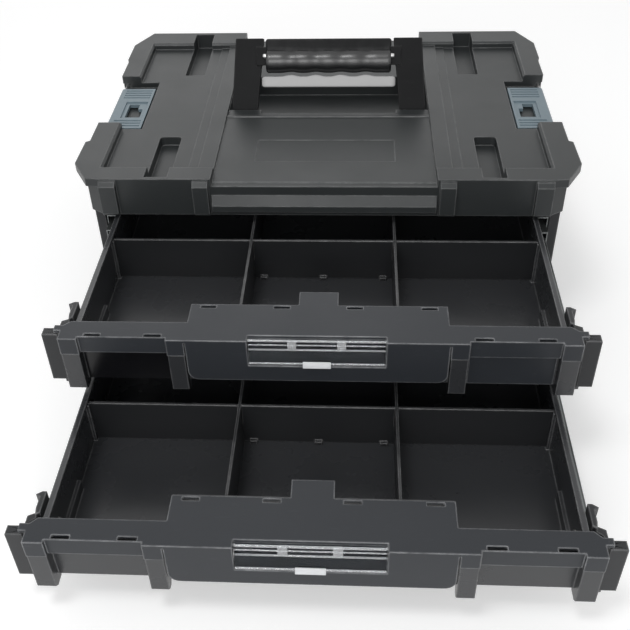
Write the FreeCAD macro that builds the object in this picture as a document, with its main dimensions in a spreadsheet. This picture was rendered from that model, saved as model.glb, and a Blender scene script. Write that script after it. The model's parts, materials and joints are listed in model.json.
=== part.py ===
import FreeCAD, Part
import math
import os
import Sketcher

# Two-drawer stackable tool chest, in millimetres.
# X points right, Y back and Z up. The drawer fronts face -Y.
# The origin is the centre of the flat stacking pan under the housing.
# Every drawer piece is drawn with its drawer shut and then placed at its opening.

SIZES = {
    # housing
    "shell_half_width": 206, "shell_skin": 3, "shell_bottom": 8, "shell_top": 132,
    "side_front": 139, "back_plane": 157, "front_plane": 157, "shell_corner": 8,
    "return_width": 8.5, "lip_front": 152, "lip_height": 8, "lip_half_width": 193,
    "pan_half_width": 188, "pan_front": 126, "pan_back": 124,
    "foot_drop": 8, "foot_width": 18, "foot_bevel": 4, "slot_side_gap": 1,
    "front_foot_centre": 144.5, "front_foot_from": 147, "front_foot_to": 68,
    "back_foot_centre": 141, "back_foot_from": 66, "back_foot_to": 151,
    "rib_width": 4, "catch_reach": 7, "catch_height": 4, "catch_level": 16,
    "catch_front": 22, "catch_back": 2,
    # cover
    "cover_half_width": 220, "cover_height": 36, "rim_height": 7, "flange_thick": 8,
    "floor_thick": 3, "rim_inner_x": 194, "rim_inner_front": 131, "rim_inner_back": 128.5,
    "fascia_front": 152.5, "post_proud": 5, "post_bevel": 3.5, "post_drop": 2,
    "outer_post_in": 179, "outer_post_out": 193.5, "inner_post_in": 98.7,
    "inner_post_out": 112.3, "centre_half_width": 96.4, "panel_back": 27, "panel_rise": 1,
    "panel_run": 11, "panel_fall": 18, "panel_foot": 4, "recess_half_width": 62,
    "recess_front": 112, "recess_back": 74, "recess_depth": 0.5,
    "strip_out": 111, "strip_rise": 3, "step_out": 120, "rim_chamfer": 2,
    "slot_depth": 16, "slot_wall": 2.5, "slot_end_gap": 2, "slot_round": 4,
    "notch_gap": 1.5, "notch_front": 51, "notch_back": 48, "notch_depth": 13,
    "screw_drop": 7, "tab_half_width": 8, "tab_drop": 14,
    # handle and its bay
    "pivot_back": -8, "pivot_height": 153, "bay_front": 20, "bay_back": 66, "scoop_run": 30,
    "arm_pocket_front": 13, "bay_half_width": 96, "bay_wall": 2.5, "bay_floor": 137.5,
    "bay_channel": 158, "boss_length": 12,
    "arm_outer_base": 94, "arm_outer_top": 89, "arm_inner_base": 69, "arm_inner_top": 62,
    "arm_thick": 8, "arm_reach": 72, "arm_root": 4.6, "grip_from": 38, "grip_half_width": 60,
    "grip_thick": 28, "grip_round": 12, "core_from": 47, "core_to": 64, "core_thick": 13,
    "finger_pitch": 24, "finger_radius": 12, "finger_depth": 1.8,
    "pad_half_width": 5, "pad_top_half_width": 3, "pad_gap": 0.5,
    "insert_from": 26.5, "insert_half_width": 64.5, "insert_thick": 12, "pin_radius": 2.5,
    "pin_head_radius": 4, "pin_head_thick": 2, "handle_tilt": 25,
    # latches
    "latch_width": 32, "latch_front": 49, "latch_back": 33.5, "latch_thick": 5,
    "hinge_inset": 11, "knuckle_radius": 3, "latch_pin_radius": 1.4, "lug_length": 6,
    "window_in": 6, "window_out": 20.5, "window_front": 25, "window_back": 1.5,
    "window_step": 4.5, "window_step_long": 9.5, "window_frame": 3.5, "frame_deep": 1.5,
    "groove_width": 2.4, "groove_pitch": 5, "groove_deep": 1,
    # drawers
    "upper_top": 130.5, "drawer_pitch": 59.5, "drawer_height": 53.5, "band_height": 15.5,
    "upper_open": 160, "lower_open": 298, "plate_thick": 3, "band_setback": 3,
    "block_depth": 21, "tongue_depth": 43, "small_tongue_depth": 59,
    "small_tongue_half": 15.3, "apron_height": 39.5, "apron_half_width": 98,
    "tray_half_width": 184.5, "tray_wall": 2.5, "tray_back": 297, "tray_floor_drop": 45,
    "panel_setback": 9, "pull_half_width": 96, "pull_depth": 43.5, "wall_top_drop": 1,
    "ledge_rise": 10, "ledge_width": 3, "ledge_end": 83, "flange_width": 4.3,
    "cross_wall_front": 135, "divider_x": 61, "divider_thick": 2.2, "divider_drop": 5,
    "guide_width": 3, "guide_reach": 2.5, "foot_tab": 3,
    # label flap
    "flap_half_width": 51, "flap_thick": 1.6, "flap_hinge_back": 5, "flap_hinge_drop": 3.2,
    "flap_length": 19.5, "flap_lean": 17, "flap_pin_radius": 1.2, "flap_pin_length": 3,
    "flap_side_gap": 0.5, "flap_bed_gap": 2, "flap_tab_half": 10.5, "flap_tab_long": 3,
    # side levers
    "lever_pivot_x": 196.5, "lever_pivot_back": 13, "lever_out": 208.5,
    "lever_pin_radius": 1.5, "lever_knuckle": 2.5, "ear_front": 9, "ear_back": 16.5,
    "hook_rise": 1.1, "hook_depth": 8.5,
    # telescopic ball slides
    "rail_drop": 27.5, "rail_height": 35, "rail_length": 288, "rail_front": 137,
    "rail_gauge": 1.2, "rail_stack": 12.7, "middle_front": 73, "middle_length": 224,
    "outer_cage_front": 58, "outer_cage_length": 110, "outer_ball": 1.6,
    "inner_cage_front": -2.5, "inner_cage_length": 58, "inner_ball": 1.45, "cage_margin": 8,
    # fits
    "seat_gap": 0.3, "wall_fit": 0.2, "pin_gap": 0.05, "ball_gap": 0.1,
    "screw_radius": 1.8, "screw_head": 3.5, "screw_head_thick": 1.8,
}

doc = FreeCAD.newDocument("ToolChest")
sheet = doc.addObject("Spreadsheet::Sheet", "Sizes")
for row, (name, number) in enumerate(SIZES.items(), 1):
    sheet.set("A%d" % row, name)
    sheet.set("B%d" % row, str(number))
    sheet.setAlias("B%d" % row, name)
doc.recompute()


class Size:
    """A length that carries its number and the sheet formula that gives it."""

    def __init__(self, number, formula=None):
        self.number = float(number)
        self.formula = formula or repr(float(number))

    def __add__(self, other):
        other = as_size(other)
        return Size(self.number + other.number, "(%s + %s)" % (self.formula, other.formula))

    def __sub__(self, other):
        other = as_size(other)
        return Size(self.number - other.number, "(%s - %s)" % (self.formula, other.formula))

    def __mul__(self, other):
        other = as_size(other)
        return Size(self.number * other.number, "(%s * %s)" % (self.formula, other.formula))

    def __radd__(self, other):
        return as_size(other) + self

    def __rsub__(self, other):
        return as_size(other) - self

    def __neg__(self):
        return self * -1

    __rmul__ = __mul__


def as_size(value):
    return value if isinstance(value, Size) else Size(value)


class Sheet:
    """Reads a named cell as a Size."""

    def __getattr__(self, name):
        return Size(sheet.get(name), "Sizes." + name)


d = Sheet()
PAST = 5    # how far a cut runs past the face that it opens
pieces = []


def new_body(label, shift=None, turn=None):
    body = doc.addObject("PartDesign::Body", label)
    body.Label = label
    if turn is not None:
        body.Placement.Rotation = FreeCAD.Rotation(FreeCAD.Vector(1, 0, 0), turn)
    for axis, size in zip("xyz", shift or ()):
        body.setExpression("Placement.Base." + axis, as_size(size).formula)
    pieces.append(body)
    return body


def new_sketch(body, plane, height):
    """A sketch on one of the body's own planes; height is measured along the plane's normal."""
    sketch = body.newObject("Sketcher::SketchObject", body.Label + "_sketch")
    origin_plane = [f for f in body.Origin.OriginFeatures if f.Role == plane + "_Plane"][0]
    sketch.AttachmentSupport = [(origin_plane, "")]
    sketch.MapMode = "FlatFace"
    sketch.setExpression(".AttachmentOffset.Base.z", as_size(height).formula)
    return sketch


def pin_point(sketch, geometry, position, point):
    """Ties a point of the sketch to its two distances from the origin."""
    for kind, size in zip(("DistanceX", "DistanceY"), point):
        index = sketch.addConstraint(
            Sketcher.Constraint(kind, -1, 1, geometry, position, size.number))
        sketch.setExpression("Constraints[%d]" % index, size.formula)


def extrude(body, sketch, plane, low, high, cut):
    """Pads or pockets a sketch between two heights of its plane's axis."""
    before = body.Shape.Volume if cut else 0
    kind = "Pocket" if cut else "Pad"
    feature = body.newObject("PartDesign::" + kind, body.Label + "_" + kind.lower())
    feature.Profile = sketch
    feature.setExpression("Length", (high - low).formula)
    sketch.recompute()
    feature.recompute()
    body.recompute()
    if cut and not body.Shape.Volume < before - 1e-3:
        raise RuntimeError("a pocket of %s cuts nothing" % body.Label)
    sketch.Visibility = False
    return feature


def start_height(plane, low, high, cut):
    """The sketch's height: pads run along the plane's normal and pockets against it."""
    if plane == "XZ":    # its normal is -Y
        return -low if cut else -high
    return high if cut else low


def prism(body, plane, loops, low, high, cut=False):
    """Extrudes one polygon, or a list of them; points are in the plane's two axes."""
    low, high = as_size(low), as_size(high)
    sketch = new_sketch(body, plane, start_height(plane, low, high, cut))
    first = 0
    for loop in loops if isinstance(loops[0], list) else [loops]:
        points = [(as_size(a), as_size(b)) for a, b in loop]
        corners = [FreeCAD.Vector(a.number, b.number, 0) for a, b in points]
        count = len(corners)
        sketch.addGeometry([Part.LineSegment(corners[i], corners[(i + 1) % count])
                            for i in range(count)], False)
        sketch.addConstraint([
            Sketcher.Constraint("Coincident", first + i, 2, first + (i + 1) % count, 1)
            for i in range(count)])
        for index, point in enumerate(points):
            pin_point(sketch, first + index, 1, point)
        first += count
    return extrude(body, sketch, plane, low, high, cut)


def rectangle(x, y):
    return [(x[0], y[0]), (x[1], y[0]), (x[1], y[1]), (x[0], y[1])]


def block(body, x, y, z, cut=False):
    """Extrudes rectangles upwards; x is one (low, high) pair or a tuple of them."""
    ranges = x if isinstance(x[0], tuple) else (x,)
    return prism(body, "XY", [rectangle(pair, y) for pair in ranges], z[0], z[1], cut)


def rod(body, plane, centres, radius, low, high, cut=False):
    """Extrudes circles along the plane's axis; centres is one point or a list of them."""
    low, high, radius = as_size(low), as_size(high), as_size(radius)
    sketch = new_sketch(body, plane, start_height(plane, low, high, cut))
    for number, centre in enumerate(centres if isinstance(centres, list) else [centres]):
        centre = [as_size(c) for c in centre]
        middle = FreeCAD.Vector(centre[0].number, centre[1].number, 0)
        sketch.addGeometry(Part.Circle(middle, FreeCAD.Vector(0, 0, 1), radius.number), False)
        pin_point(sketch, number, 3, centre)
        index = sketch.addConstraint(Sketcher.Constraint("Radius", number, radius.number))
        sketch.setExpression("Constraints[%d]" % index, radius.formula)
    return extrude(body, sketch, plane, low, high, cut)


def round_edges(body, radius, wanted, kind="Fillet"):
    """Fillets or chamfers the straight edges that wanted(centre, direction) accepts."""
    base = body.Tip
    names = []
    for index, edge in enumerate(base.Shape.Edges, 1):
        if len(edge.Vertexes) != 2:
            continue
        ends = [v.Point for v in edge.Vertexes]
        direction = (ends[1] - ends[0]).normalize()
        if wanted((ends[0] + ends[1]) * 0.5, direction):
            names.append("Edge%d" % index)
    if not names:
        raise RuntimeError("no edge of %s to round" % body.Label)
    feature = body.newObject("PartDesign::" + kind, body.Label + "_" + kind.lower())
    feature.Base = (base, names)
    feature.setExpression("Radius" if kind == "Fillet" else "Size", as_size(radius).formula)
    feature.recompute()
    body.recompute()
    return feature


def eight_sided(centre, radius):
    """An outline with eight corners, whose radius is measured to the corners."""
    angles = [math.pi / 8 * (2 * i + 1) for i in range(8)]
    return [(centre[0] + radius * math.cos(a), centre[1] + radius * math.sin(a)) for a in angles]


def studs(body, plane, centres, radius, low, high, cut=False):
    """Eight-sided screws and heads, or seats of screws and held pins, measured to the flats."""
    reach = radius * (1 / math.cos(math.pi / 8))
    prism(body, plane, [eight_sided(centre, reach) for centre in centres], low, high, cut)


def near(a, b):
    return abs(a - b) < 0.02


def both_ways(low, high):
    """A left and a right range, mirrored."""
    return ((-high, -low), (low, high))


def opposite(points):
    """The same outline on the left-hand side."""
    return [(-x, y) for x, y in points]


SCREW_COLUMNS = (-158, -62, 62, 158)    # where the cover is screwed to the back wall


def cover_screw_centres():
    return [(x, d.shell_top - d.screw_drop) for x in SCREW_COLUMNS]


def latch_hinge():
    """The latches' hinge line keeps its distance from the cover's edge."""
    return d.cover_half_width - d.hinge_inset


def latch_inner_edge():
    return latch_hinge() - d.latch_width


def housing_shell():
    """Side walls, back wall, floor with the sunk stacking pan, front lip, feet and rail ribs."""
    body = new_body("housing_shell")
    half, skin, front, back = d.shell_half_width, d.shell_skin, -d.side_front, d.back_plane
    bottom, top = d.shell_bottom, d.shell_top
    block(body, (-half, half), (front, back), (bottom, top))
    round_edges(body, d.shell_corner, lambda c, v: abs(v.z) > 0.9 and near(c.y, back.number))
    block(body, (skin - half, half - skin), (front - PAST, back - skin),
          (bottom + skin, top + PAST), cut=True)
    inner = (half - skin).number
    round_edges(body, d.shell_corner - skin, lambda c, v: abs(v.z) > 0.9
                and near(abs(c.x), inner) and near(c.y, (back - skin).number))
    block(body, both_ways(half - d.return_width, half), (front, front + skin), (bottom, top))
    lip = d.lip_half_width
    block(body, (-lip, lip), (-d.lip_front, front + skin), (bottom, bottom + skin))
    block(body, (-lip, lip), (-d.lip_front, skin - d.lip_front), (bottom, bottom + d.lip_height))
    pan = d.pan_half_width
    block(body, (-pan, pan), (-d.pan_front, d.pan_back), (0, bottom + skin))
    block(body, (skin - pan, pan - skin), (skin - d.pan_front, d.pan_back - skin),
          (skin, bottom + skin + PAST), cut=True)
    runners = ((d.front_foot_centre, -d.front_foot_from, -d.front_foot_to),
               (d.back_foot_centre, d.back_foot_from, d.back_foot_to))
    for centre, start, end in runners:
        profile = [(start, bottom + 1), (start, d.foot_bevel - d.foot_drop),
                   (start + d.foot_bevel, -d.foot_drop), (end - d.foot_bevel, -d.foot_drop),
                   (end, d.foot_bevel - d.foot_drop), (end, bottom + 1)]
        for x in both_ways(centre - 0.5 * d.foot_width, centre + 0.5 * d.foot_width):
            prism(body, "YZ", profile, *x)
    rail_face = d.tray_half_width + d.rail_stack
    ribs = [rectangle(x, (y - 0.5 * d.rib_width, y + 0.5 * d.rib_width))
            for y in (-110, -30, 60, 140) for x in both_ways(rail_face, half - 0.5 * skin)]
    prism(body, "XY", ribs, bottom + 1, top - 4)
    level, reach = d.catch_level, half + d.catch_reach
    catch = [(half - 1, level - 2 * d.catch_height), (half, level - 2 * d.catch_height),
             (reach, level - d.catch_height), (reach, level), (half - 1, level)]
    prism(body, "XZ", [catch, opposite(catch)], -d.catch_front, -d.catch_back)
    studs(body, "XZ", cover_screw_centres(), d.screw_radius + d.pin_gap, back - skin - PAST,
          back + PAST, cut=True)


def cover_outline():
    """Right-hand half of the flange's outline, from back to front."""
    wide = d.cover_half_width
    back, front = d.back_plane, -d.fascia_front
    return [(wide - 20.5, back), (wide - 4.5, back - 32), (wide - 4.5, back - 69),
            (wide - 6.2, back - 71), (wide - 6.2, 0), (wide - 4.2, -5), (wide - 4.2, front + 66.5),
            (wide - 0.5, front + 64.5), (wide, front + 26.5), (wide - 14.5, front + 1.5),
            (d.outer_post_out, front)]


def mirrored(points):
    """The whole outline from its right-hand half."""
    return points + [(-x, y) for x, y in reversed(points)]


def top_cover():
    """Lid moulding with stacking recess, four slots, latch notches, handle bay and fascia."""
    body = new_body("top_cover")
    bottom = d.shell_top
    top = bottom + d.cover_height
    floor = top - d.rim_height
    under = floor - d.floor_thick
    half, skin, front, back = d.shell_half_width, d.shell_skin, -d.fascia_front, d.back_plane
    prism(body, "XY", mirrored(cover_outline()), top - d.flange_thick, top)
    skirt = [(half - d.shell_corner, back), (half, back - d.shell_corner), (half, front + 8),
             (d.outer_post_out, front)]
    prism(body, "XY", mirrored(skirt), bottom, top - d.flange_thick)
    rim = (-d.rim_inner_x, d.rim_inner_x)
    block(body, rim, (-d.rim_inner_front, d.rim_inner_back), (floor, top + PAST), cut=True)
    round_edges(body, d.rim_chamfer, lambda c, v: near(c.z, top.number)
                and abs(c.x) < d.rim_inner_x.number + 1 and abs(c.y) < d.rim_inner_front.number + 1,
                "Chamfer")
    centre = d.centre_half_width
    block(body, (-centre, centre), (front - PAST, -d.rim_inner_front), (floor, top + PAST),
          cut=True)
    inside = [(half - skin - 6, back - skin), (half - skin, back - skin - 6),
              (half - skin, front + 10), (d.outer_post_out - 1, front + skin)]
    prism(body, "XY", mirrored(inside), bottom - PAST, under, cut=True)

    # fascia: four proud posts and the bevelled centre panel
    proud = front - d.post_proud
    bevel = d.post_bevel
    behind, post_top = front + 2, top - d.post_drop
    post = [(behind, post_top), (proud + bevel, post_top), (proud, post_top - bevel),
            (proud, bottom + bevel), (proud + bevel, bottom), (behind, bottom)]
    for low, high in ((d.inner_post_in, d.inner_post_out), (d.outer_post_in, d.outer_post_out)):
        for x in both_ways(low, high):
            prism(body, "YZ", post, *x)
    panel = floor + d.panel_rise
    profile = [(1 - d.rim_inner_front, under), (1 - d.rim_inner_front, panel),
               (proud + d.panel_run, panel), (proud, panel - d.panel_fall),
               (proud, bottom + d.panel_foot + 2), (proud + 2, bottom + d.panel_foot),
               (behind, bottom + d.panel_foot), (behind, under)]
    prism(body, "YZ", profile, -centre, centre)
    block(body, (-centre, centre), (-d.rim_inner_front, -d.panel_back), (floor - 1, panel))
    block(body, (-centre, centre), (-d.panel_back - 3, -d.panel_back), (floor - 1, panel + 1))
    block(body, (-d.recess_half_width, d.recess_half_width), (-d.recess_front, -d.recess_back),
          (panel - d.recess_depth, panel + PAST), cut=True)
    strip_y = (-d.rim_inner_front - 1, d.rim_inner_back + 1)
    block(body, both_ways(centre + 0.1, d.strip_out), strip_y, (floor - 1, floor + d.strip_rise))
    block(body, both_ways(d.strip_out - 1, d.step_out), strip_y, (floor - 1, panel))

    # stacking slots that take the feet of a chest above
    slots = ((d.front_foot_centre, -d.front_foot_from, -d.front_foot_to),
             (d.back_foot_centre, d.back_foot_from, d.back_foot_to))
    wide = 0.5 * d.foot_width + d.slot_side_gap
    low = top - d.slot_depth
    wall = d.slot_wall
    boxes, hollows = [], []
    for centre_x, start, end in slots:
        ends = (start - d.slot_end_gap, end + d.slot_end_gap)
        for x in both_ways(centre_x - wide, centre_x + wide):
            boxes.append(rectangle((x[0] - wall, x[1] + wall), (ends[0] - wall, ends[1] + wall)))
            hollows.append(rectangle(x, ends))
    prism(body, "XY", boxes, low - wall, floor - 0.5)
    prism(body, "XY", hollows, low, top + PAST, cut=True)
    slot_back = d.slot_end_gap - d.front_foot_to
    round_edges(body, d.slot_round, lambda c, v: abs(v.z) > 0.9 and near(c.y, slot_back.number)
                and near(abs(abs(c.x) - d.front_foot_centre.number), wide.number))

    # latch notches with a hinge lug beyond each end
    notch_in = latch_inner_edge() - d.notch_gap
    notch_floor, notch = top - d.notch_depth, (-d.notch_front, d.notch_back)
    block(body, both_ways(notch_in - skin, half - 0.5), (notch[0] - skin, notch[1] + skin),
          (notch_floor - skin, under + 0.5))
    block(body, both_ways(notch_in, d.cover_half_width + PAST), notch,
          (notch_floor, top + PAST), cut=True)
    pivot = floor - d.knuckle_radius
    lugs = ((notch[0] - d.lug_length, notch[0]), (notch[1], notch[1] + d.lug_length))
    ears = [rectangle(x, lug) for lug in lugs
            for x in both_ways(half - 1, latch_hinge() + d.knuckle_radius + 1)]
    prism(body, "XY", ears, pivot - 5, pivot + 3.5)
    studs(body, "XZ", [(side * latch_hinge(), pivot) for side in (-1, 1)],
          d.latch_pin_radius + d.pin_gap, lugs[0][0] + 1, lugs[1][1] - 1, cut=True)
    handle_bay(body, floor, under)
    block(body, tuple((x - d.tab_half_width, x + d.tab_half_width) for x in SCREW_COLUMNS),
          (back - 2 * skin, back - skin), (bottom - d.tab_drop, bottom + 6))
    studs(body, "XZ", cover_screw_centres(), d.screw_radius + d.pin_gap,
          back - 2 * skin - PAST, back - skin + 0.01, cut=True)


def handle_bay(body, floor, under):
    """The scooped well that the handle folds into, open towards the back."""
    wide, wall = d.bay_half_width, d.bay_wall
    front, back = -d.bay_front, d.bay_back
    top = d.shell_top + d.cover_height
    block(body, (-wide - wall, wide + wall), (front - wall, back + wall),
          (d.bay_floor - wall, under + 1))
    block(body, (-wide - wall, wide + wall), (back, d.back_plane - 1),
          (d.bay_channel - wall, under + 1))
    pivot_y, pivot_z = d.pivot_back, d.pivot_height
    for x in both_ways(wide, wide + d.boss_length):
        studs(body, "YZ", [(pivot_y, pivot_z)], 2 * d.pin_radius, *x)
    arm_in = d.arm_inner_top + 3
    block(body, both_ways(arm_in, wide), (-d.arm_pocket_front, back),
          (d.bay_floor, top + PAST), cut=True)
    scoop = [(front, top + PAST), (front, floor), (front + d.scoop_run, d.bay_floor),
             (back, d.bay_floor), (back, top + PAST)]
    prism(body, "YZ", scoop, -arm_in - 0.1, arm_in + 0.1, cut=True)
    block(body, (-wide + 1, wide - 1), (back - 1, d.back_plane + PAST),
          (d.bay_channel, top + PAST), cut=True)
    for x in both_ways(wide - 1, wide + d.boss_length - 1):
        studs(body, "YZ", [(pivot_y, pivot_z)], d.pin_radius + d.pin_gap, *x, cut=True)


def cover_screws():
    """Four pan-head screws through the back wall into the cover's tabs."""
    body = new_body("cover_screws")
    back = d.back_plane
    studs(body, "XZ", cover_screw_centres(), d.screw_radius, back - 2 * d.shell_skin,
          back + 0.5)
    studs(body, "XZ", cover_screw_centres(), d.screw_head, back, back + d.screw_head_thick)


def handle():
    """Two flat arms on a core bar, the grip sleeve over it and the bar under the grip."""
    shift = (0, d.pivot_back, d.pivot_height)
    turn = -SIZES["handle_tilt"]
    frame = new_body("handle_frame", shift, turn)
    thick, reach, root = 0.5 * d.arm_thick, d.arm_reach, d.arm_root
    arm = [(d.arm_inner_base, 0), (d.arm_outer_base, 0), (d.arm_outer_base, root),
           (d.arm_outer_top, reach), (d.arm_inner_top, reach), (d.arm_inner_base, root)]
    prism(frame, "XZ", [arm, opposite(arm)], -thick, thick)
    for x in both_ways(d.arm_inner_base, d.arm_outer_base):
        rod(frame, "YZ", (0, 0), root, *x)
    core = 0.5 * d.core_thick
    block(frame, (-d.arm_inner_base, d.arm_inner_base), (-core, core),
          (d.core_from, d.core_to))
    for x in both_ways(d.arm_inner_base - 1, d.arm_outer_base + 1):
        rod(frame, "YZ", (0, 0), d.pin_radius + d.pin_gap, *x, cut=True)

    grip = new_body("handle_grip", shift, turn)
    wide, thick = d.grip_half_width, 0.5 * d.grip_thick
    fingers = [step * d.finger_pitch for step in (-1.5, -0.5, 0.5, 1.5)]
    block(grip, (-wide, wide), (-thick, thick), (d.grip_from, reach))
    round_edges(grip, d.grip_round, lambda c, v: abs(v.x) > 0.9)
    rod(grip, "XZ", [(x, d.grip_from + d.finger_depth - d.finger_radius) for x in fingers],
        d.finger_radius, -thick - PAST, thick + PAST, cut=True)
    block(grip, (-wide - PAST, wide + PAST), (-core, core), (d.core_from, d.core_to), cut=True)

    # the bar under the grip rises into the grip's four finger hollows
    insert = new_body("handle_insert", shift, turn)
    wide, thick = d.insert_half_width, 0.5 * d.insert_thick
    level, rise = d.grip_from, d.grip_from + d.finger_depth - d.pad_gap
    foot, crest = d.pad_half_width, d.pad_top_half_width
    outline = [(-wide, d.insert_from), (-wide, level)]
    for x in fingers:
        outline += [(x - foot, level), (x - crest, rise), (x + crest, rise), (x + foot, level)]
    outline += [(wide, level), (wide, d.insert_from)]
    prism(insert, "XZ", outline, -thick, thick)
    round_edges(insert, 4, lambda c, v: abs(v.x) > 0.9 and c.z < d.grip_from.number - 1)


def handle_pins():
    """The two headed pins that the handle arms turn on."""
    body = new_body("handle_pins")
    centre = (d.pivot_back, d.pivot_height)
    head = d.arm_inner_base - d.seat_gap
    for x in both_ways(head, d.bay_half_width + d.boss_length - 1 - d.seat_gap):
        rod(body, "YZ", centre, d.pin_radius, *x)
    for x in both_ways(head - d.pin_head_thick, head):
        studs(body, "YZ", [centre], d.pin_head_radius, *x)


def latches():
    """Flat draw plates at both ends, each hinged on a pin near the cover's edge."""
    floor = d.shell_top + d.cover_height - d.rim_height
    low = floor - d.latch_thick
    pivot = floor - d.knuckle_radius
    edge, hinge = latch_inner_edge(), latch_hinge()
    y = (-d.latch_front, d.latch_back)
    near_x, far_x = edge + d.window_in, edge + d.window_out
    front, back, frame = -d.window_front, d.window_back, d.window_frame
    step_x, step_y = near_x + d.window_step, back - d.window_step_long
    window = [(near_x, front), (far_x, front), (far_x, back), (step_x, back), (step_x, step_y),
              (near_x, step_y)]
    recess = rectangle((near_x - frame, far_x + frame), (front - frame, back + frame))
    grooves = [rectangle((near_x - frame, hinge - d.knuckle_radius),
                         (start, start + d.groove_width))
               for start in [y[0] + d.window_frame + d.groove_pitch * i for i in range(3)]
               + [y[1] - d.window_frame - d.groove_width - d.groove_pitch * i for i in range(4)]]
    pins = new_body("latch_pins")
    for side, label in ((-1, "latch_left"), (1, "latch_right")):
        plate = new_body(label)

        def turned(points):
            return [(side * x, along) for x, along in points]

        prism(plate, "XY", turned(rectangle((edge, hinge), y)), low, floor)
        rod(plate, "XZ", (side * hinge, pivot), d.knuckle_radius, *y)
        prism(plate, "XY", turned(window), low - PAST, floor + PAST, cut=True)
        prism(plate, "XY", turned(recess), floor - d.frame_deep, floor + PAST, cut=True)
        prism(plate, "XY", [turned(loop) for loop in grooves], floor - d.groove_deep,
              floor + PAST, cut=True)
        rod(plate, "XZ", (side * hinge, pivot), d.latch_pin_radius + d.pin_gap,
            y[0] - PAST, y[1] + PAST, cut=True)
        rod(pins, "XZ", (side * hinge, pivot), d.latch_pin_radius,
            1 - d.notch_front - d.lug_length, d.notch_back + d.lug_length - 1)


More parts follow.
